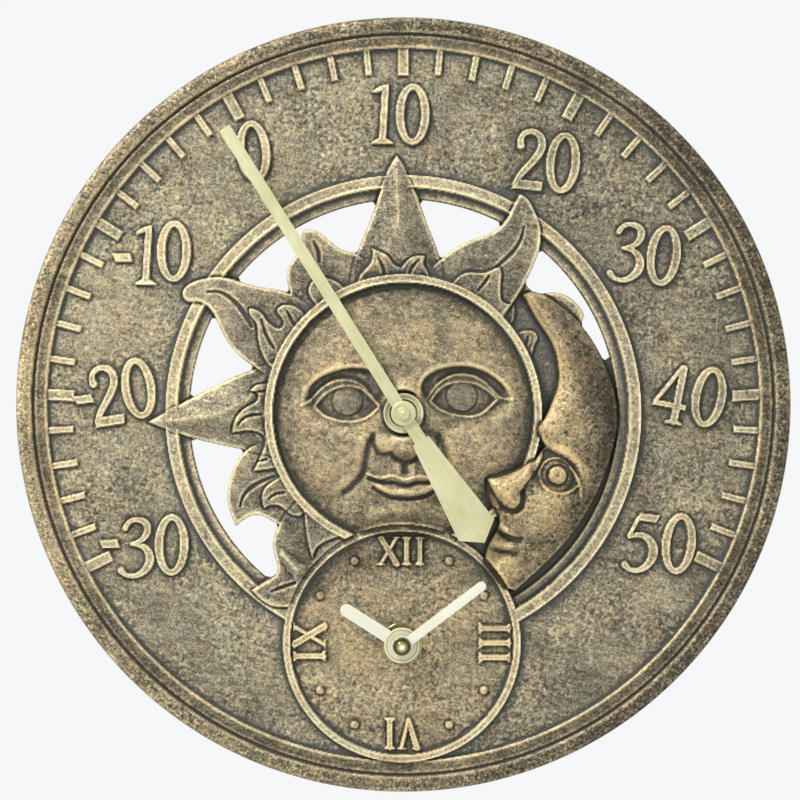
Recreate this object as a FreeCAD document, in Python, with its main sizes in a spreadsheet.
import FreeCAD, Part
# Garden wall dial: a hollow cast disc with a sun and moon relief, a bimetal thermometer and a quartz clock.
# Millimetres, +Z up. The origin is the centre of the disc on the wall plane, and the face looks along -Y.
# Most shapes are described by u to the right, v up and w out of the wall: X = u, Y = -w, Z = v.
import math
import os
import re

import Sketcher
from FreeCAD import Placement, Rotation, Vector

SIZES = {
    # the cast disc
    "disc_radius": 152.5, "disc_back": 17.5, "plate_front": 22.0, "rim_top": 25.0, "rim_wall": 7.0,
    "band_outer": 145.0, "band_inner": 140.6, "band_top": 24.0, "groove_width": 1.2, "groove_floor": 22.8,
    # the round window with its raised ring, centred on the thermometer's spindle
    "hub_v": -3.4, "ring_outer": 93.6, "ring_inner": 88.6, "ring_top": 24.4, "window_radius": 84.6,
    "ledge_front": 20.2,
    # sun and moon
    "sun_radius": 54.4, "sun_ring_width": 3.4, "sun_ring_top": 27.6, "face_edge": 24.6, "face_top": 31.0,
    "dome_radius": 51.0, "pocket_radius": 46.0, "pocket_top": 21.5, "ray_top": 24.6, "web_top": 22.6,
    "moon_top": 28.0,
    # scale
    "tick_top": 23.0, "tick_width": 2.6, "tick_length": 11.2, "major_width": 4.4, "major_length": 12.0,
    "degree_step": 29.0, "numeral_top": 23.4, "digit_height": 23.4, "digit_stroke": 2.8,
    # clock dial
    "clock_u": -0.6, "clock_v": -93.8, "clock_radius": 46.8, "clock_ring_width": 3.0,
    "clock_ring_top": 24.4,
    "roman_height": 12.0, "roman_radius": 36.5, "roman_stroke": 1.8, "dot_radius": 2.0, "dot_circle": 36.5,
    # hanger
    "hanger_v": 118.0, "boss_wide": 46.0, "boss_tall": 30.0, "boss_back": 3.0, "hanger_thick": 1.2,
    "hanger_wide": 38.0, "hanger_tall": 22.0, "keyhole_radius": 4.6, "keyhole_slot": 2.2,
    "keyhole_rise": 7.0,
    "screw_pitch": 28.0, "screw_radius": 1.4, "screw_head": 2.6, "screw_length": 9.0, "head_thick": 1.2,
    # thermometer
    "cup_radius": 7.85, "cup_wall": 0.7, "cup_front": 33.4, "cup_floor": 30.6, "cup_tube": 6.0,
    "cup_back": 17.0, "bush_outer": 2.2, "housing_radius": 21.0, "housing_back": 7.0, "housing_wall": 0.8,
    "retainer_radius": 9.5, "retainer_thick": 2.0, "coil_inner": 2.6, "coil_outer": 16.0, "coil_turns": 6.5,
    "strip_thick": 0.5, "strip_back": 9.5, "strip_front": 15.5, "collet_radius": 2.4, "anchor_wide": 2.4,
    "spindle_radius": 0.9, "spindle_back": 8.4, "running_gap": 0.05,
    "pointer_back": 37.0, "needle_thick": 0.5, "needle_width": 4.8, "needle_length": 129.7,
    "pointer_boss": 4.85, "boss_top": 39.0, "tail_neck": 5.2, "tail_start": 12.5, "tail_end": 52.9,
    "tail_tip": 58.8, "tail_narrow": 7.3, "tail_wide": 16.2, "cap_flat": 2.4, "spindle_top": 39.6,
    # clock movement
    "case_wide": 56.0, "case_front": 16.9, "case_back": 1.4, "case_wall": 1.2, "cell_wall_v": -12.2,
    "bush_radius": 4.0, "bush_flange": 6.0, "bush_front": 27.2, "shaft_hole": 4.3, "gasket_radius": 9.0,
    "washer_thick": 0.8, "washer_radius": 8.0, "nut_across": 12.0, "nut_thick": 2.2,
    "bridge_back": 7.4, "bridge_front": 8.4,
    "arbor_radius": 1.5, "arbor_top": 33.4, "tube_radius": 2.6, "tube_top": 30.4, "pivot_radius": 0.6,
    "motion_module": 0.48, "hour_module": 0.384, "train_module": 0.3, "seconds_module": 0.28333,
    "fourth_module": 0.25, "post_radius": 0.7, "knob_shaft": 0.8, "knob_radius": 5.0, "knob_well": 5.8,
    "cell_radius": 7.1, "cell_length": 49.0, "cell_v": -19.6, "contact_thick": 0.4,
    # hands
    "hour_back": 29.4, "minute_back": 31.9, "hand_thick": 0.5, "hour_length": 28.0, "hour_width": 5.0,
    "hour_boss": 6.9, "minute_length": 40.5, "minute_width": 3.8, "minute_boss": 4.2, "cap_nut": 3.6,
    "cap_nut_top": 34.8,
}
READING_AT_REST = -32.1     # degrees clockwise from straight up: about one degree of frost
HOUR_AT_REST = -57.6        # degrees clockwise from twelve: a little after ten o'clock
MINUTE_AT_REST = 53.0
FACE_OUT = Rotation(Vector(1, 0, 0), 90)

doc = FreeCAD.newDocument("wall_dial")
sheet = doc.addObject("Spreadsheet::Sheet", "sizes")
for row, (alias, value) in enumerate(SIZES.items(), 1):
    sheet.set(f"A{row}", alias)
    sheet.set(f"B{row}", str(value))
    sheet.setAlias(f"B{row}", alias)
doc.recompute()


def size(alias):
    """A driving dimension, read from the sheet."""
    return float(sheet.get(alias))


def formula(text):
    """A formula in the sheet's aliases, written as an expression."""
    return re.sub(r"[a-z][a-z_]+", lambda m: "sizes." + m.group() if m.group() in SIZES else m.group(),
                  str(text))


def number(text):
    """The value of a formula, worked out by a spare cell of the sheet."""
    sheet.set("D1", f"={text}")
    sheet.recompute()
    return float(sheet.get("D1"))


def bind(thing, **expressions):
    """Binds properties to formulas. A double underscore in a property's name stands for a dot."""
    for prop, text in expressions.items():
        thing.setExpression(prop.replace("__", "."), formula(text))
    return thing


def place(thing, u, v, w, turn=0.0):
    """Puts a piece built along its own Z at (u, v, w), with that Z out of the wall, turned clockwise."""
    thing.Placement = Placement(Vector(0, 0, 0), FACE_OUT * Rotation(Vector(0, 0, 1), -turn))
    return bind(thing, Placement__Base__x=u, Placement__Base__y=f"-({w})", Placement__Base__z=v)


def cylinder(name, radius, low, high, u="0", v="0"):
    thing = doc.addObject("Part::Cylinder", name)
    bind(thing, Radius=radius, Height=f"({high}) - ({low})")
    return place(thing, u, v, low)


def block(name, wide, tall, low, high, u="0", v="0"):
    """A box centred on (u, v)."""
    thing = doc.addObject("Part::Box", name)
    bind(thing, Length=wide, Width=tall, Height=f"({high}) - ({low})")
    return place(thing, f"({u}) - ({wide}) / 2", f"({v}) - ({tall}) / 2", low)


def join(name, *things):
    thing = doc.addObject("Part::MultiFuse", name)
    thing.Shapes = list(things)
    thing.Refine = True
    return thing


def cut(name, base, *tools):
    thing = doc.addObject("Part::Cut", name)
    thing.Base = base
    thing.Tool = tools[0] if len(tools) == 1 else join(name + "_tools", *tools)
    return thing


def feature(name, shape, u=0.0, v=0.0):
    """A shape in its own (u, v, w), which Part's functions made, stood on the point (u, v) of the dial."""
    thing = doc.addObject("Part::Feature", name)
    thing.Shape = shape
    thing.Placement = Placement(Vector(u, 0, v), FACE_OUT)
    return thing


def sketch_polygon(body, name, role, corners):
    """A closed sketch of straight edges whose corners are bound to formulas."""
    sketch = body.newObject("Sketcher::SketchObject", name)
    plane = next(f for f in body.Origin.OriginFeatures if f.Role == role)
    sketch.AttachmentSupport = [(plane, "")]
    sketch.MapMode = "FlatFace"
    points = [Vector(number(a), number(b), 0) for a, b in corners]
    for i, point in enumerate(points):
        sketch.addGeometry(Part.LineSegment(point, points[(i + 1) % len(points)]), False)
    for i in range(len(points)):
        sketch.addConstraint(Sketcher.Constraint("Coincident", i, 2, (i + 1) % len(points), 1))
    for i, pair in enumerate(corners):
        for axis, text, value in zip(("DistanceX", "DistanceY"), pair, points[i]):
            index = sketch.addConstraint(Sketcher.Constraint(axis, -1, 1, i, 1, value))
            sketch.setExpression(f"Constraints[{index}]", formula(text))
    return sketch


def turned(name, profile, u="0", v="0"):
    """A body of revolution about its own Z, from a profile of (radius, w)."""
    body = doc.addObject("PartDesign::Body", name)
    sketch = sketch_polygon(body, name + "_profile", "XZ_Plane", profile)
    turn = body.newObject("PartDesign::Revolution", name + "_turn")
    turn.Profile = sketch
    turn.ReferenceAxis = (sketch, ["V_Axis"])
    turn.Angle = 360
    body.Tip = turn
    return place(body, u, v, "0")


def padded(name, outline, low, high, u="0", v="0", turn=0.0):
    """A flat body cut from an outline of (u, v) corners."""
    body = doc.addObject("PartDesign::Body", name)
    sketch = sketch_polygon(body, name + "_outline", "XY_Plane", outline)
    pad = body.newObject("PartDesign::Pad", name + "_pad")
    pad.Profile = sketch
    bind(pad, Length=f"({high}) - ({low})")
    body.Tip = pad
    return place(body, u, v, low, turn)


def extruded(wire, low, high):
    """A closed wire or a face at w = 0, extruded between two levels."""
    face = wire if wire.ShapeType == "Face" else Part.Face(wire)
    face.translate(Vector(0, 0, low))
    return face.extrude(Vector(0, 0, high - low))


def curve(points):
    """A smooth edge through points, or a straight one between two."""
    corners = [Vector(u, v, 0) for u, v in points]
    if len(corners) == 2:
        return Part.makeLine(*corners)
    spline = Part.BSplineCurve()
    spline.interpolate(corners)
    return spline.toShape()


def outline(*curves):
    """A closed wire of smooth curves that meet at sharp tips, each starting where the last one ended."""
    edges = [curve(points) for points in curves]
    if curves[-1][-1] != curves[0][0]:
        edges.append(curve([curves[-1][-1], curves[0][0]]))
    return Part.Wire(edges)


def polar(radius, clockwise):
    """The point at a radius and an angle clockwise from straight up."""
    a = math.radians(clockwise)
    return radius * math.sin(a), radius * math.cos(a)


# ---- the casting -----------------------------------------------------------------------------------------------

# Rays, in millimetres from the spindle. Each outline starts and ends on the sun.
TOP_SPIKE = ([(-21, 50), (-17.9, 64), (-15.1, 71.2), (-11.5, 80.4), (-7.6, 91.8), (-5.4, 97),
              (-2.6, 101.5)],
             [(-2.6, 101.5), (0.3, 97), (2, 92.6), (4.9, 86.9), (7.1, 81.2), (9.9, 73.3), (13.5, 64),
              (16, 50)])
TOP_LEFT_FLAME = ([(-12, 50), (-15, 60), (-18.6, 62.8), (-24.4, 64.4), (-27.9, 66.9), (-32.2, 70.4),
                   (-36.5, 72.2),
                   (-39.2, 71.6), (-39.8, 67)],
                  [(-39.8, 67), (-42.8, 61.2), (-45.4, 57), (-45.2, 49.5), (-40, 35)])
LEFT_FLAME = ([(-35, 40), (-46.5, 47.8), (-57.1, 49.8), (-64.1, 51.7), (-69.8, 53.2), (-76.8, 53),
               (-83.4, 51.1),
               (-86.8, 46.8), (-85, 43.9), (-81.2, 43.9), (-77.4, 42.3), (-72.5, 34.5), (-66, 24),
               (-58.5, 18),
               (-50, 12)],)
LEFT_SPIKE = ([(-50, 20), (-58.5, 17.5), (-82.5, 6.5), (-100.5, -3.5)],
              [(-100.5, -3.5), (-82.5, -10), (-62.5, -14.5), (-50, -17)])
LOW_LEFT_FLAME = ([(-50, -10), (-62.5, -15), (-68, -25), (-69, -35), (-66, -44.5)],
                  [(-66, -44.5), (-57, -40), (-48, -44), (-38, -38)])
BOTTOM_FLAME = ([(-30, -25), (-49, -44), (-51.3, -53), (-50, -63), (-54, -66), (-59.5, -69.5)],
                [(-59.5, -69.5), (-53, -75), (-42, -75.5), (-15, -60)])
RIGHT_FLAME = ([(8, 54), (15.2, 61), (23.1, 66.4), (28.2, 68.6), (33.9, 70.6), (40.3, 75.9), (43, 81),
                (45.7, 86.2)],
               [(45.7, 86.2), (48.8, 84.2), (51.1, 80.4), (53.2, 75), (53.9, 67), (51.5, 58.8), (46, 48),
                (38, 36)])
MOON = ([(46.2, 46.6), (49.5, 48), (53.9, 47.4), (59.8, 44), (66.8, 38.5), (76.7, 25.6), (83, 10.5),
         (84.8, 1),
         (84.1, -9), (78.7, -26.9), (66.8, -47.7), (58.9, -56.6), (44, -70.5)],
        [(44, -70.5), (33, -64), (33.5, -50), (37, -42), (34, -36), (31.5, -25)],
        [(31.5, -25), (42, -22.5), (50.5, -17.5), (54.9, -13)],
        [(54.9, -13), (52.9, -9.5), (51.9, -6), (54.4, -2), (57.4, 4), (59.7, 10), (60, 18.7), (57.4, 27.6),
         (52.9, 34.6), (48.9, 41.5), (46.2, 46.6)])
# The low web that joins the right-hand flame, the moon and the sun, the shelf behind the moon's round edge and the
# small rise behind its horn.
WEB = [(0, 0), (30, 55), (49, 50), (65, 30), (65, 0), (55, -30), (45, -60), (20, -62), (0, 0)]
SHELF = [(55, 21), (84, 21), (88, 0), (82, -30), (68, -53), (49, -74), (38, -72), (45, -30), (55, 21)]
HORN_RISE = ([(50, 44), (56.8, 47.4), (61.2, 47.3), (65.6, 45.5), (69.5, 41.7), (71, 38.8), (69.6, 35)],
             [(69.6, 35), (60, 38), (50, 44)])
RAYS = (TOP_SPIKE, TOP_LEFT_FLAME, LEFT_FLAME, LEFT_SPIKE, LOW_LEFT_FLAME, BOTTOM_FLAME, RIGHT_FLAME)

# Digits one unit tall, as centre lines. A line of two or three points is straight, a longer one is smooth.
DIGITS = {
    "1": ([(-.1, .32), (.02, .42)], [(.02, .44), (.02, -.42)], [(-.1, -.44), (.14, -.44)]),
    "2": ([(-.17, .26), (-.06, .42), (.12, .38), (.16, .18), (.04, -.1), (-.19, -.42)],
          [(-.19, -.44), (.2, -.44)]),
    "3": ([(-.16, .32), (0, .44), (.14, .34), (.12, .14), (-.04, .05)],
          [(-.04, .05), (.14, -.03), (.17, -.26), (.02, -.43), (-.18, -.38)]),
    "4": ([(.08, -.44), (.08, .42)], [(.08, .42), (-.2, -.14)], [(-.2, -.16), (.22, -.16)]),
    "5": ([(.18, .42), (-.11, .42)], [(-.11, .42), (-.15, .08)],
          [(-.15, .08), (.05, .12), (.18, -.06), (.14, -.34), (-.05, -.44), (-.19, -.38)]),
    "-": ([(-.09, .03), (.09, .03)],),
    "I": ([(0, .44), (0, -.44)],),
    "V": ([(-.2, .44), (0, -.42)], [(0, -.42), (.2, .44)]),
    "X": ([(-.22, .44), (.22, -.44)], [(.22, .44), (-.22, -.44)]),
}
DIGIT_WIDTHS = {"2": 1.12, "3": 1.36, "4": 1.18, "5": 1.28}
# Where each numeral of the scale stands, from the spindle: (text, u, v, tilt of its line, lean of its digits, pitch)
NUMERALS = (("10", -2.2, 117.7, 1.5, 2, 11.7), ("20", 56.2, 99.1, 6, 7, 13.2),
            ("30", 95.2, 62.6, 5, 9, 14.4),
            ("40", 112.9, 7.1, 6, 12, 14.5), ("50", 100.8, -51.2, 1, 8, 15), ("0", -59, 103, 0, -6, 12),
            ("-", -110.4, 61.2, 0, 3, 9), ("10", -95.7, 63, -7, 2, 11), ("-", -125.7, 5.4, 0, -6, 9),
            ("20", -110.7, 8.4, -12.5, -9, 13.3), ("-", -115.5, -51.4, 0, 2, 9),
            ("30", -98.2, -52.4, -4.8, 1, 14.2))
ROMANS = (("XII", 0), ("III", 90), ("VI", 180), ("IX", 270))
ROMAN_SPACING = {"I": 0.34, "V": 0.52, "X": 0.56}


def bar(start, end, wide):
    """A straight stroke with round ends, as a closed wire."""
    start, end = Vector(*start, 0), Vector(*end, 0)
    along = (end - start).normalize() * (wide / 2)
    side = Vector(-along.y, along.x, 0)
    return Part.Wire([Part.makeLine(start + side, end + side),
                      Part.Arc(end + side, end + along, end - side).toShape(),
                      Part.makeLine(end - side, start - side),
                      Part.Arc(start - side, start - along, start + side).toShape()])


def ribbon(points, wide):
    """A smooth stroke through points with round ends, as a closed wire of two parallel splines and two arcs."""
    spline = Part.BSplineCurve()
    spline.interpolate([Vector(u, v, 0) for u, v in points])
    first, last = spline.FirstParameter, spline.LastParameter
    sides = ([], [])
    for i in range(4 * len(points)):
        at = first + (last - first) * i / (4 * len(points) - 1)
        middle, along = spline.value(at), Vector(*spline.tangent(at)[0]).normalize()
        for side, sign in zip(sides, (1, -1)):
            side.append(middle + Vector(-along.y, along.x, 0) * (sign * wide / 2))
    left, right = sides
    ends = [spline.value(last) + Vector(*spline.tangent(last)[0]).normalize() * (wide / 2),
            spline.value(first) - Vector(*spline.tangent(first)[0]).normalize() * (wide / 2)]
    rims = []
    for side in (left, right[::-1]):
        rim = Part.BSplineCurve()
        rim.interpolate(side)
        rims.append(rim.toShape())
    return Part.Wire([rims[0], Part.Arc(left[-1], ends[0], right[-1]).toShape(), rims[1],
                      Part.Arc(right[0], ends[1], left[0]).toShape()])


def zero(tall, stroke, low, high):
    """An upright oval ring."""
    rings = []
    for sign, reach in ((1, 0), (-1, 1)):
        oval = Part.Ellipse(Vector(0, 0, 0), 0.44 * tall + sign * stroke / 2,
                            0.17 * tall + sign * stroke / 2)
        ring = Part.Wire(oval.toShape())
        ring.rotate(Vector(0, 0, 0), Vector(0, 0, 1), 90)
        rings.append(extruded(ring, low - reach, high + reach))
    return rings[0].cut(rings[1])


def glyph(text, tall, stroke, low, high):
    """One character as a solid of round-ended strokes, centred on the origin."""
    if text == "0":
        return zero(tall, stroke, low, high)
    solids = []
    for line in DIGITS[text]:
        points = [(a * tall * DIGIT_WIDTHS.get(text, 1), b * tall) for a, b in line]
        if len(points) == 2:
            solids.append(extruded(bar(*points, stroke), low, high))
        else:
            solids.append(extruded(ribbon(points, stroke), low, high))
    return solids[0].multiFuse(solids[1:]) if len(solids) > 1 else solids[0]


def lettering(text, spacing, tall, stroke, low, high):
    """A word of glyphs, centred, with each glyph's pitch from spacing(character)."""
    pitches = [spacing(c) for c in text]
    solids, along = [], -sum(pitches) / 2
    for character, pitch in zip(text, pitches):
        solids.append(glyph(character, tall, stroke, low, high).translated(Vector(along + pitch / 2, 0, 0)))
        along += pitch
    return solids


def scale_relief():
    """Forty-one ticks from -30 to +50 degrees that hang from the band, and the numerals."""
    low, top = size("plate_front") - 0.5, size("tick_top")
    outer = size("band_inner") + 1
    solids = []
    for i in range(41):
        wide, long = ("major_width", "major_length") if i % 5 == 0 else ("tick_width", "tick_length")
        bearing = (i - 20) * size("degree_step") / 5
        tick = Part.makeBox(size(wide), size(long) + 1, top - low, Vector(-size(wide) / 2, 0, low))
        u, v = polar(1, bearing)
        # the ticks point at the spindle, and end on the band, which is centred on the disc
        lift = size("hub_v")
        reach = -lift * v + math.sqrt(outer ** 2 - (lift * u) ** 2)
        tick.translate(Vector(0, reach - size(long) - 1, 0))
        tick.rotate(Vector(0, 0, 0), Vector(0, 0, 1), -bearing)
        solids.append(tick)
    tall, stroke = size("digit_height"), size("digit_stroke")
    for text, u, v, tilt, lean, pitch in NUMERALS:
        for k, character in enumerate(text):
            solid = glyph(character, tall, stroke, low, size("numeral_top"))
            solid.rotate(Vector(0, 0, 0), Vector(0, 0, 1), -lean)
            along_u, along_v = polar((k - (len(text) - 1) / 2) * pitch, 90 + tilt)
            solids.append(solid.translated(Vector(u + along_u, v + along_v, 0)))
    return solids


def clock_relief():
    """Four Roman numerals that stand on the dial's edge, and a dot at each of the other hours."""
    low, top = size("plate_front") - 0.5, size("numeral_top")
    tall = size("roman_height")
    solids = []
    for text, bearing in ROMANS:
        for solid in lettering(text, lambda c: ROMAN_SPACING[c] * tall, tall, size("roman_stroke"), low,
                               top):
            solid.translate(Vector(0, size("roman_radius"), 0))
            solids.append(solid.rotated(Vector(0, 0, 0), Vector(0, 0, 1), -bearing))
    for hour in (1, 2, 4, 5, 7, 8, 10, 11):
        u, v = polar(size("dot_circle"), 30 * hour)
        solids.append(Part.makeCylinder(size("dot_radius"), top - low, Vector(u, v, low)))
    return solids


def make_casting():
    """The disc, its openwork middle and all that stands on it, as one casting."""
    rim = turned("disc_blank", [
        ("0", "disc_back"), ("disc_radius - rim_wall", "disc_back"), ("disc_radius - rim_wall", "0"),
        ("disc_radius", "0"), ("disc_radius", "rim_top - 4"), ("disc_radius - 1", "rim_top - 1.5"),
        ("disc_radius - 3", "rim_top"), ("band_outer + 1.8", "rim_top"),
        ("band_outer + groove_width / 2", "band_top"),
        ("band_outer + groove_width / 2", "groove_floor"),
        ("band_outer - groove_width / 2", "groove_floor"),
        ("band_outer - groove_width / 2", "band_top"), ("band_inner", "band_top"),
        ("band_inner", "plate_front"),
        ("0", "plate_front")])
    ledge = cylinder("ledge_cut", "ring_inner", "ledge_front", "rim_top", v="hub_v")
    window = cylinder("window_cut", "window_radius", "0", "rim_top", v="hub_v")
    blank = cut("pierced_disc", rim, ledge, window)
    ring = turned("window_ring", [("ring_inner", "ledge_front"), ("ring_outer", "ledge_front"),
                                  ("ring_outer", "ring_top"), ("ring_inner", "ring_top")], v="hub_v")
    dial_space = cylinder("dial_space", "clock_radius - 1", "0", "rim_top + 5", "clock_u", "clock_v")
    open_ring = cut("window_ring_open", ring, dial_space)

    low = size("disc_back")
    hub = size("hub_v")
    rays = [feature(f"ray_{i}", extruded(outline(*ray), low, size("ray_top")), 0, hub)
            for i, ray in enumerate(RAYS)]
    moon = feature("moon", extruded(outline(*MOON), low, size("moon_top")), 0, hub)
    web = feature("web", extruded(Part.makePolygon([Vector(u, v, 0) for u, v in WEB]), low,
                                  size("web_top")), 0, hub)
    shelf = feature("shelf", extruded(Part.makePolygon([Vector(u, v, 0) for u, v in SHELF]), low,
                                      size("ledge_front")), 0, hub)
    rise = feature("horn_rise", extruded(outline(*HORN_RISE), low, size("web_top") + 0.4), 0, hub)
    sun = turned("sun_disc", [
        ("0", "disc_back"), ("sun_radius", "disc_back"), ("sun_radius", "sun_ring_top"),
        ("sun_radius - sun_ring_width", "sun_ring_top"), ("dome_radius", "face_edge"),
        ("dome_radius * 0.75", "face_edge + (face_top - face_edge) * 0.44"),
        ("dome_radius * 0.5", "face_edge + (face_top - face_edge) * 0.75"),
        ("dome_radius * 0.25", "face_top - 0.4"), ("0", "face_top")], v="hub_v")
    dial = turned("dial_disc", [
        ("0", "disc_back"), ("clock_radius", "disc_back"), ("clock_radius", "clock_ring_top"),
        ("clock_radius - clock_ring_width", "clock_ring_top"),
        ("clock_radius - clock_ring_width", "plate_front"),
        ("0", "plate_front")], "clock_u", "clock_v")
    boss = block("hanger_boss", "boss_wide", "boss_tall", "boss_back", "disc_back + 0.5", v="hanger_v")
    upper = cut("upper_relief", join("rays_and_sun", moon, sun, web, shelf, rise, *rays), dial_space)
    scale = feature("scale_relief", Part.makeCompound(scale_relief()), 0, hub)
    romans = feature("clock_relief", Part.makeCompound(clock_relief()), size("clock_u"), size("clock_v"))
    plain = join("plain_casting", blank, open_ring, upper, dial, boss)
    whole = join("solid_casting", plain, scale, romans)

    pocket = cylinder("sun_pocket", "pocket_radius", "0", "pocket_top", v="hub_v")
    spindle_hole = cylinder("spindle_hole", "cup_tube", "0", "face_top + 5", v="hub_v")
    shaft_hole = cylinder("shaft_hole_cut", "shaft_hole", "0", "face_top", "clock_u", "clock_v")
    nail_room = block("nail_room", "18", "24", "0", "10", v="hanger_v + 3")
    pilots = [cylinder(f"screw_pilot_{side}", "screw_radius", "0",
                       "boss_back + screw_length - hanger_thick",
                       f"{side} * screw_pitch / 2", "hanger_v") for side in (-1, 1)]
    return cut("dial_casting", whole, pocket, spindle_hole, shaft_hole, nail_room, *pilots)


# ---- hanger ----------------------------------------------------------------------------------------------------

def make_hanger():
    """A steel keyhole plate and the two screws that hold it to its boss."""
    back = "boss_back - hanger_thick"
    plate = block("hanger_blank", "hanger_wide", "hanger_tall", back, "boss_back", v="hanger_v")
    entry = cylinder("keyhole_entry", "keyhole_radius", "0", "boss_back + 1", v="hanger_v - 3")
    neck = block("keyhole_neck", "2 * keyhole_slot", "keyhole_rise", "0", "boss_back + 1",
                 v="hanger_v - 3 + keyhole_rise / 2")
    neck_end = cylinder("keyhole_end", "keyhole_slot", "0", "boss_back + 1",
                        v="hanger_v - 3 + keyhole_rise")
    holes = [cylinder(f"hanger_screw_hole_{side}", "screw_radius", "0", "boss_back + 1",
                      f"{side} * screw_pitch / 2", "hanger_v") for side in (-1, 1)]
    hanger = cut("hanger_plate", plate, entry, neck, neck_end, *holes)
    screws = []
    for side in (-1, 1):
        head_back = "boss_back - hanger_thick - head_thick"
        screw = turned(f"hanger_screw_{side + 1}", [
            ("0", head_back), ("screw_head - 0.6", head_back),
            ("screw_head", "boss_back - hanger_thick - 0.6"),
            ("screw_head", back), ("screw_radius", back), ("screw_radius", f"{back} + screw_length - 1"),
            ("0", f"{back} + screw_length")], f"{side} * screw_pitch / 2", "hanger_v")
        slot = block(f"screw_slot_{side}", "4", "0.7", head_back, f"{head_back} + 0.6",
                     f"{side} * screw_pitch / 2", "hanger_v")
        screws.append(cut(f"slotted_screw_{side}", screw, slot))
    return hanger, join("hanger_screws", *screws)


# ---- thermometer -----------------------------------------------------------------------------------------------

def spiral_strip():
    """The bimetal strip: an Archimedean spiral wound between two circles, of constant thickness."""
    steps = int(size("coil_turns") * 10)
    side = []
    for offset in (-0.5, 0.5):
        points = []
        for i in range(steps + 1):
            share = i / steps
            radius = size("coil_inner") + share * (size("coil_outer") - size("coil_inner"))
            points.append(polar(radius + (offset + 0.5) * size("strip_thick"),
                                360 * size("coil_turns") * share))
        side.append(points)
    inner, outer = side
    return outline(inner, [inner[-1], outer[-1]], outer[::-1])


def make_thermometer():
    hub = "hub_v"
    cup = turned("thermometer_cup", [
        ("bush_outer", "cup_back"), ("cup_tube", "cup_back"), ("cup_tube", "face_top + 0.6"),
        ("cup_radius", "face_top + 0.6"), ("cup_radius", "cup_front"),
        ("cup_radius - cup_wall", "cup_front"),
        ("cup_radius - cup_wall", "cup_front - 0.9"), ("cup_radius - 2.5", "cup_front - 1.1"),
        ("cup_radius - 2.5", "cup_floor"), ("bush_outer", "cup_floor")], v=hub)
    bush = turned("spindle_bush", [
        ("spindle_radius + running_gap", "cup_back - 1"), ("bush_outer + 0.8", "cup_back - 1"),
        ("bush_outer + 0.8", "cup_back"), ("bush_outer", "cup_back"), ("bush_outer", "cup_floor + 0.8"),
        ("spindle_radius + running_gap", "cup_floor + 0.8")], v=hub)
    can = turned("thermometer_housing", [
        ("housing_radius - housing_wall", "housing_back"), ("housing_radius", "housing_back"),
        ("housing_radius", "pocket_top"), ("cup_tube", "pocket_top"),
        ("cup_tube", "pocket_top - housing_wall"),
        ("housing_radius - housing_wall", "pocket_top - housing_wall")], v=hub)
    cover = turned("housing_cover", [
        ("0", "housing_back"), ("housing_radius - housing_wall", "housing_back"),
        ("housing_radius - housing_wall", "housing_back + housing_wall"),
        ("0", "housing_back + housing_wall")],
        v=hub)
    corners = [(f"retainer_radius * {round(math.cos(math.radians(60 * i)), 4)}",
                f"retainer_radius * {round(math.sin(math.radians(60 * i)), 4)}") for i in range(6)]
    nut = cut("thermometer_retainer",
              padded("retainer_hexagon", corners, "pocket_top - housing_wall - retainer_thick",
                     "pocket_top - housing_wall", v=hub),
              cylinder("retainer_bore", "cup_tube", "0", "pocket_top", v=hub))
    strip = feature("bimetal_coil", extruded(spiral_strip(), size("strip_back"), size("strip_front")), 0,
                    size("hub_v"))
    end_u, end_v = polar(size("coil_outer") + size("strip_thick"), 360 * size("coil_turns"))
    anchor = block("coil_anchor", "anchor_wide", "2", "housing_back + housing_wall", "strip_front",
                   str(round(end_u, 3)), f"hub_v + {round(end_v, 3)} - 1")
    collet = turned("coil_collet", [
        ("spindle_radius", "strip_back - 0.5"), ("collet_radius", "strip_back - 0.5"),
        ("collet_radius", "strip_front"), ("spindle_radius", "strip_front")], v=hub)
    spindle = turned("pointer_spindle", [
        ("0", "spindle_back"), ("spindle_radius", "spindle_back"), ("spindle_radius", "spindle_top"),
        ("0", "spindle_top")], v=hub)
    boss = turned("pointer_hub", [
        ("spindle_radius", "pointer_back - 1"), ("pointer_boss - 2.4", "pointer_back - 1"),
        ("pointer_boss - 2.4", "pointer_back + needle_thick"),
        ("pointer_boss", "pointer_back + needle_thick"),
        ("pointer_boss", "boss_top - 0.5"), ("pointer_boss - 0.5", "boss_top"),
        ("spindle_radius", "boss_top")],
        v=hub)
    cap = turned("spindle_cap", [
        ("spindle_radius", "boss_top"), ("cap_flat", "boss_top"), ("cap_flat", "spindle_top + 0.2"),
        ("cap_flat - 0.8", "spindle_top + 0.9"), ("0", "spindle_top + 1.1"), ("0", "spindle_top"),
        ("spindle_radius", "spindle_top")], v=hub)
    return [cup, bush, can, cover, nut, strip, anchor, collet, spindle, make_pointer(), boss, cap]


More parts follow.
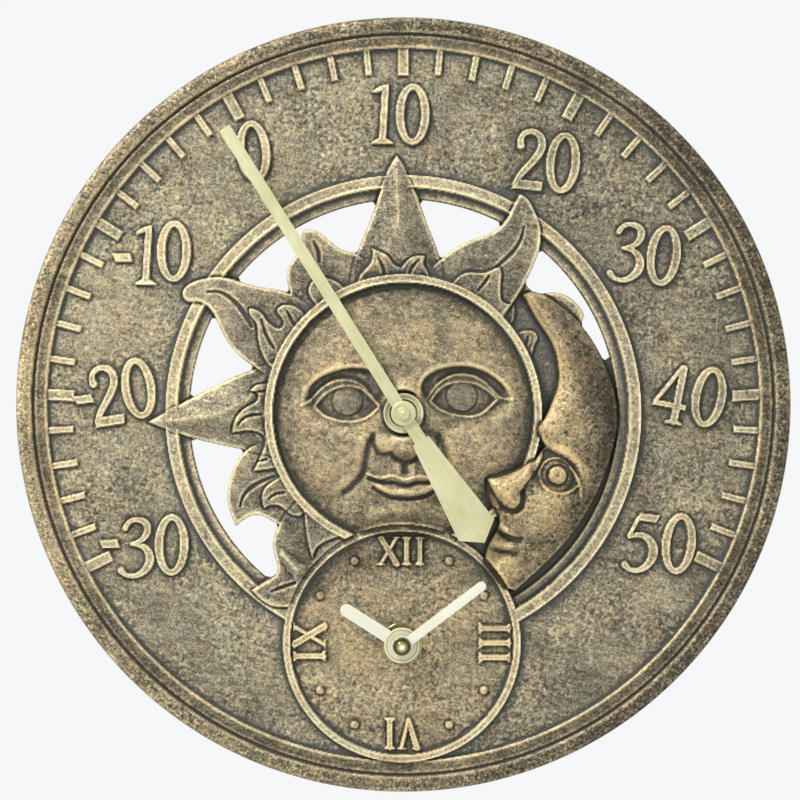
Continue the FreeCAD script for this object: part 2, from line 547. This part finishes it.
def make_pointer():
    """A needle with a heavier tail. The tail's gauge is the one that balances the needle about the spindle."""
    hole = size("pointer_boss") - 2.4
    needle = [("-needle_width / 2", "0"), ("-needle_width / 2", "needle_length - 0.5"),
              ("-needle_width / 2 + 0.4", "needle_length"), ("needle_width / 2 - 0.4", "needle_length"),
              ("needle_width / 2", "needle_length - 0.5"), ("needle_width / 2", "0")]
    tail = [("tail_neck / 2", "0"), ("tail_neck / 2", "-tail_start"), ("tail_narrow / 2", "-tail_start"),
            ("tail_wide / 2", "-tail_end"), ("0", "-tail_tip"), ("-tail_wide / 2", "-tail_end"),
            ("-tail_narrow / 2", "-tail_start"), ("-tail_neck / 2", "-tail_start"), ("-tail_neck / 2", "0")]
    needle_moment = size("needle_width") * size("needle_length") ** 2 / 2
    depth = size("tail_end") - size("tail_start")
    balance = size("tail_start") + depth / 3 * (1 + size("tail_wide") / (size("tail_narrow") + size("tail_wide")))
    point = size("tail_tip") - size("tail_end")
    tail_moment = (size("tail_neck") * size("tail_start") ** 2 / 2
                   + (size("tail_narrow") + size("tail_wide")) / 2 * depth * balance
                   + size("tail_wide") * point / 2 * (size("tail_end") + point / 3))
    gauge = round(size("needle_thick") * needle_moment / tail_moment, 4)
    front = padded("needle", needle, "pointer_back", "pointer_back + needle_thick", v="hub_v",
                   turn=READING_AT_REST)
    rear = padded("pointer_tail", tail, "pointer_back", f"pointer_back + {gauge}", v="hub_v",
                  turn=READING_AT_REST)
    seat = cylinder("pointer_seat", "pointer_boss", "pointer_back + needle_thick", "boss_top", v="hub_v")
    bore = cylinder("pointer_bore", str(hole), "pointer_back - 1", "boss_top", v="hub_v")
    middle = cylinder("pointer_middle", "pointer_boss", "pointer_back", "pointer_back + needle_thick",
                      v="hub_v")
    return cut("thermometer_pointer", join("pointer_blank", front, rear, middle), seat, bore)


# ---- clock movement --------------------------------------------------------------------------------------------

TEETH = {"cannon": 10, "minute": 30, "minute_pinion": 10, "hour": 40, "knob": 12, "centre": 60,
         "third_pinion": 8, "third": 64, "fourth_pinion": 8, "fourth": 60}
PRESSURE_ANGLE = math.radians(20)
ADDENDUM, DEDENDUM, BACKLASH = 0.6, 0.95, 0.12


def gear(teeth, module, low, high, first_tooth):
    """A spur gear with involute flanks, one tooth pointing at first_tooth degrees anticlockwise from the right."""
    pitch = teeth * module / 2
    base = pitch * math.cos(PRESSURE_ANGLE)
    tip, root = pitch + ADDENDUM * module, pitch - DEDENDUM * module

    def roll(radius):
        """The involute's polar angle at a radius."""
        turn = math.sqrt(max(radius ** 2 / base ** 2 - 1, 0))
        return turn - math.atan(turn)

    half_tooth = math.pi / teeth / 2 * (1 - BACKLASH) + roll(pitch)
    start = max(base, root)
    flank = [(root, half_tooth)] if root < base else []
    for i in range(5):
        radius = start + (tip - start) * i / 4
        flank.append((radius, half_tooth - roll(radius)))
    points = []
    for k in range(teeth):
        middle = math.radians(first_tooth) + 2 * math.pi * k / teeth
        for radius, angle in [(r, -a) for r, a in flank] + flank[::-1]:
            points.append(Vector(radius * math.cos(middle + angle), radius * math.sin(middle + angle), 0))
    return extruded(Part.makePolygon(points + points[:1]), low, high)


def mate(first_tooth, teeth, other_teeth, direction):
    """Where the other gear's first tooth points, so that it meshes. direction is the way to the other gear."""
    return direction + 180 + 180 / other_teeth - (first_tooth - direction) * teeth / other_teeth


def disc(radius, low, high):
    return Part.makeCylinder(radius, high - low, Vector(0, 0, low))


def make_train():
    """The wheels from the hands back to the seconds wheel, each with its arbor, in mesh at rest."""
    cu, cv = size("clock_u"), size("clock_v")
    gap = size("running_gap")
    up_right, up_left, knob_way = 53.0, 127.0, 36.0
    motion = size("motion_module") * (TEETH["cannon"] + TEETH["minute"]) / 2
    knob_reach = size("motion_module") * (TEETH["minute"] + TEETH["knob"]) / 2
    third_reach = size("train_module") * (TEETH["centre"] + TEETH["third_pinion"]) / 2

    def ahead(origin, reach, way):
        a = math.radians(way)
        return origin[0] + reach * math.cos(a), origin[1] + reach * math.sin(a)

    centre_at = (cu, cv)
    minute_at = ahead(centre_at, motion, up_right)
    knob_at = ahead(minute_at, knob_reach, knob_way)
    third_at = ahead(centre_at, third_reach, up_left)

    minute_tooth = mate(0, TEETH["cannon"], TEETH["minute"], up_right)
    hour_tooth = mate(0, TEETH["minute_pinion"], TEETH["hour"], up_right + 180)
    knob_tooth = mate(minute_tooth, TEETH["minute"], TEETH["knob"], knob_way)
    third_tooth = mate(0, TEETH["centre"], TEETH["third_pinion"], up_left)
    fourth_tooth = mate(0, TEETH["third"], TEETH["fourth_pinion"], up_left + 180)

    centre = gear(TEETH["centre"], size("train_module"), 9.4, 10.2, 0).multiFuse([
        gear(TEETH["cannon"], size("motion_module"), 11.0, 12.8, 0), disc(2.2, 8.6, 9.4),
        disc(1.9, 10.2, 11.0),
        disc(size("arbor_radius"), 8.6, size("arbor_top")), disc(size("pivot_radius"), 7.9, 8.6)])
    hour = gear(TEETH["hour"], size("hour_module"), 13.6, 14.6, hour_tooth).fuse(
        disc(size("tube_radius"), 13.6, size("tube_top"))).cut(
        disc(size("arbor_radius") + gap, 13, size("tube_top") + 1))
    minute = gear(TEETH["minute"], size("motion_module"), 11.4, 12.4, minute_tooth).fuse(
        gear(TEETH["minute_pinion"], size("hour_module"), 12.4, 15.0, 0)).cut(
        disc(size("post_radius") + gap, 11, 16))
    third = gear(TEETH["third_pinion"], size("train_module"), 8.9, 10.6, third_tooth).multiFuse([
        gear(TEETH["third"], size("seconds_module"), 5.0, 5.8, 0), disc(size("pivot_radius"), 2.0, 10.9),
        disc(1.3, 5.8, 6.8)])
    fourth = gear(TEETH["fourth_pinion"], size("seconds_module"), 4.8, 6.2, fourth_tooth).multiFuse([
        gear(TEETH["fourth"], size("fourth_module"), 3.4, 4.2, 0), disc(size("pivot_radius"), 2.0, 7.8),
        disc(0.9, 4.2, 4.8)])
    grip = disc(size("knob_radius"), 1.6, 3.6)
    for i in range(12):
        u, v = polar(size("knob_radius"), 30 * i)
        grip = grip.cut(Part.makeCylinder(0.6, 3, Vector(u, v, 1)))
    knob = gear(TEETH["knob"], size("motion_module"), 11.2, 12.6, knob_tooth).multiFuse([
        disc(size("knob_shaft"), 3.6, 11.2), grip])
    wheels = [feature("centre_wheel", centre, *centre_at), feature("hour_wheel", hour, *centre_at),
              feature("minute_wheel", minute, *minute_at), feature("third_wheel", third, *third_at),
              feature("fourth_wheel", fourth, *centre_at), feature("setting_knob", knob, *knob_at)]
    return wheels, minute_at, knob_at, third_at


def make_movement(minute_at, knob_at, third_at):
    """The case around the train, the cell, its contacts and the stepping motor's parts."""
    cu, cv = "clock_u", "clock_v"
    inner = "(case_wide - 2 * case_wall)"
    gap = "running_gap"
    shell = block("case_shell", "case_wide", "case_wide", "case_back", "case_front", cu, cv)
    train_top = "(case_wide / 2 - case_wall)"
    train_low = "(cell_wall_v + case_wall)"
    room = block("train_room", inner, f"{train_top} - {train_low}", "0", "case_front - case_wall", cu,
                 f"clock_v + ({train_top} + {train_low}) / 2")
    bay = block("cell_bay", inner, f"cell_wall_v + {train_top}", "0", "case_front - case_wall", cu,
                f"clock_v + (cell_wall_v - {train_top}) / 2")
    bush_seat = cylinder("bush_seat", "bush_flange", "0", "case_front + 1", cu, cv)
    post = cylinder("minute_post", "post_radius", "10.9", "case_front - case_wall", *map(str, minute_at))
    case = join("movement_case", cut("case_hollow", shell, room, bay, bush_seat), post)

    bushing = turned("movement_bushing", [
        ("tube_radius + running_gap", "case_front - case_wall"), ("bush_flange", "case_front - case_wall"),
        ("bush_flange", "case_front"), ("bush_radius", "case_front"), ("bush_radius", "bush_front - 0.4"),
        ("bush_radius - 0.4", "bush_front"), ("tube_radius + running_gap", "bush_front")], cu, cv)

    cover_wide = inner
    cover_mid = f"clock_v + ({train_top} + {train_low}) / 2"
    cover_tall = f"{train_top} - {train_low}"
    cover = block("cover_blank", cover_wide, cover_tall, "case_back", "case_back + case_wall", cu,
                  cover_mid)
    well_wall = cylinder("knob_well_wall", "knob_well + 1", "case_back", "4.8", *map(str, knob_at))
    well = cylinder("knob_well_cut", "knob_well", "0", "4.2", *map(str, knob_at))
    well_hole = cylinder("knob_well_hole", f"knob_shaft + {gap}", "0", "6", *map(str, knob_at))
    pivots = [cylinder(f"rear_pivot_{i}", f"pivot_radius + {gap}", "2.0 - 0.05", "4", *map(str, at))
              for i, at in enumerate((third_at, (size("clock_u"), size("clock_v"))))]
    rear = cut("rear_case", join("cover_and_well", cover, well_wall), well, well_hole, *pivots)

    plate = block("bridge_blank", cover_wide, cover_tall, "bridge_back", "bridge_front", cu, cover_mid)
    holes = [cylinder(f"bridge_hole_{i}", f"{radius} + {gap}", "bridge_back - 1", "bridge_front + 1",
                      *map(str, at))
             for i, (radius, at) in enumerate((("pivot_radius", third_at), ("knob_shaft", knob_at),
                                               ("pivot_radius", (size("clock_u"), size("clock_v")))))]
    bridge = cut("wheel_bridge", plate, *holes)

    stator_frame = block("stator_frame", "16.4", "20", "5", "5.8", "clock_u + 14", cv)
    stator_window = block("stator_window", "8", "16", "4", "7", "clock_u + 16.2", cv)
    rotor_room = cylinder("rotor_room", "2.7", "4", "7", "clock_u + 9.2", cv)
    stator = cut("stator", stator_frame, stator_window, rotor_room)
    rotor = turned("rotor", [("0", "3"), ("0.8", "3"), ("0.8", "4.6"), ("2.2", "4.6"), ("2.2", "6.4"),
                             ("0.5", "6.4"), ("0.5", "7.2"), ("0", "7.2")], "clock_u + 9.2", cv)
    winding = block("winding", "4.4", "13", "3.2", "7.2", "clock_u + 21.2", cv)
    core_room = block("core_room", "2", "14", "5", "5.8", "clock_u + 21.2", cv)
    coil = cut("drive_coil", winding, core_room)
    board = block("circuit_board", "9", "16", "3.4", "4.2", "clock_u - 22", "clock_v + 1")

    cell = doc.addObject("PartDesign::Body", "battery_cell")
    lengthwise = [("0", "-cell_length / 2"), ("cell_radius", "-cell_length / 2"),
                  ("cell_radius", "cell_length / 2"),
                  ("2.7", "cell_length / 2"), ("2.7", "cell_length / 2 + 1.2"),
                  ("0", "cell_length / 2 + 1.2")]
    sketch = sketch_polygon(cell, "battery_cell_profile", "XZ_Plane", lengthwise)
    turn = cell.newObject("PartDesign::Revolution", "battery_cell_turn")
    turn.Profile = sketch
    turn.ReferenceAxis = (sketch, ["V_Axis"])
    turn.Angle = 360
    cell.Tip = turn
    cell.Placement = Placement(Vector(0, 0, 0), Rotation(Vector(0, 1, 0), 90))
    bind(cell, Placement__Base__x="clock_u - 0.4", Placement__Base__y="-(case_back + cell_radius)",
         Placement__Base__z="clock_v + cell_v")
    end = "(case_wide / 2 - case_wall)"
    positive = block("battery_contact_positive", "contact_thick", "8", "5", "13",
                     f"clock_u + {end} - contact_thick / 2", "clock_v + cell_v")
    spring_strip = block("contact_strip", "contact_thick", "8", "4", "13",
                         f"clock_u - ({end}) + contact_thick / 2", "clock_v + cell_v")
    leaf = block("contact_leaf", f"{end} - contact_thick - cell_length / 2 - 0.4", "3", "7", "9.5",
                 f"clock_u - ({end} - contact_thick + cell_length / 2 + 0.4) / 2", "clock_v + cell_v")
    negative = join("battery_contact_negative", spring_strip, leaf)
    return [case, bushing, rear, bridge, stator, rotor, coil, board, cell, positive, negative]


def make_fixings():
    """What clamps the movement to the dial: a gasket behind it, a washer and a nut in front."""
    at = ("clock_u", "clock_v")
    gasket = turned("rubber_gasket", [("bush_radius", "case_front"), ("gasket_radius", "case_front"),
                                      ("gasket_radius", "disc_back"), ("bush_radius", "disc_back")], *at)
    washer = turned("dial_washer", [
        ("bush_radius", "plate_front"), ("washer_radius", "plate_front"),
        ("washer_radius", "plate_front + washer_thick"), ("bush_radius", "plate_front + washer_thick")],
        *at)
    corners = [(f"nut_across / 2 * {round(math.cos(math.radians(60 * i)) / math.cos(math.radians(30)), 4)}",
                f"nut_across / 2 * {round(math.sin(math.radians(60 * i)) / math.cos(math.radians(30)), 4)}")
               for i in range(6)]
    seat = "plate_front + washer_thick"
    nut = cut("shaft_nut", padded("nut_hexagon", corners, seat, f"{seat} + nut_thick", *at),
              cylinder("nut_bore", "bush_radius", "plate_front", "rim_top + 2", *at))
    return [gasket, washer, nut]


def make_hand(name, wide, long, boss, bore, back, collet_back, bearing):
    """A flat hand with a round tip and a collet that presses on its arbor."""
    at = ("clock_u", "clock_v")
    top = f"{back} + hand_thick"
    blade = padded(name + "_blade", [(f"-{wide} / 2", "0"), (f"-{wide} / 2", f"{long} - {wide} / 2"),
                                     (f"{wide} / 2", f"{long} - {wide} / 2"), (f"{wide} / 2", "0")],
                   back, top, *at, turn=bearing)
    u, v = polar(size(long) - size(wide) / 2, bearing)
    tip = cylinder(name + "_tip", f"{wide} / 2", back, top, f"clock_u + {round(u, 4)}",
                   f"clock_v + {round(v, 4)}")
    centre = cylinder(name + "_boss", boss, back, top, *at)
    collet = cylinder(name + "_collet", f"{bore} + 0.9", collet_back, back, *at)
    hole = cylinder(name + "_bore", bore, f"{collet_back} - 1", f"{top} + 1", *at)
    return cut(name, join(name + "_blank", blade, tip, centre, collet), hole)


def make_hands():
    hour = make_hand("hour_hand", "hour_width", "hour_length", "hour_boss", "tube_radius", "hour_back",
                     "hour_back - 1.4", HOUR_AT_REST)
    minute = make_hand("minute_hand", "minute_width", "minute_length", "minute_boss", "arbor_radius",
                       "minute_back", "minute_back - 0.9", MINUTE_AT_REST)
    front = "minute_back + hand_thick"
    nut = turned("hand_cap_nut", [
        ("arbor_radius", front), ("cap_nut", front), ("cap_nut", f"{front} + 0.8"),
        ("cap_nut * 0.75", "cap_nut_top - 0.6"),
        ("cap_nut * 0.4", "cap_nut_top - 0.1"), ("0", "cap_nut_top"), ("0", "arbor_top"),
        ("arbor_radius", "arbor_top")], "clock_u", "clock_v")
    return [hour, minute, nut]


casting = make_casting()
hanger, screws = make_hanger()
wheels, minute_at, knob_at, third_at = make_train()
pieces = [casting, hanger, screws, *make_thermometer(), *wheels,
          *make_movement(minute_at, knob_at, third_at),
          *make_fixings(), *make_hands()]
doc.recompute()
for thing in doc.Objects:
    if {"Invalid", "Error"} & set(thing.State):
        raise RuntimeError(f"{thing.Name} failed: {thing.State}")
for piece in pieces:
    if piece.Shape.isNull() or not piece.Shape.isValid():
        raise RuntimeError(f"{piece.Name} has no valid shape")

os.makedirs("parts", exist_ok=True)
for piece in pieces:
    piece.Label = piece.Name
    piece.Shape.exportStep(os.path.join("parts", piece.Label + ".step"))
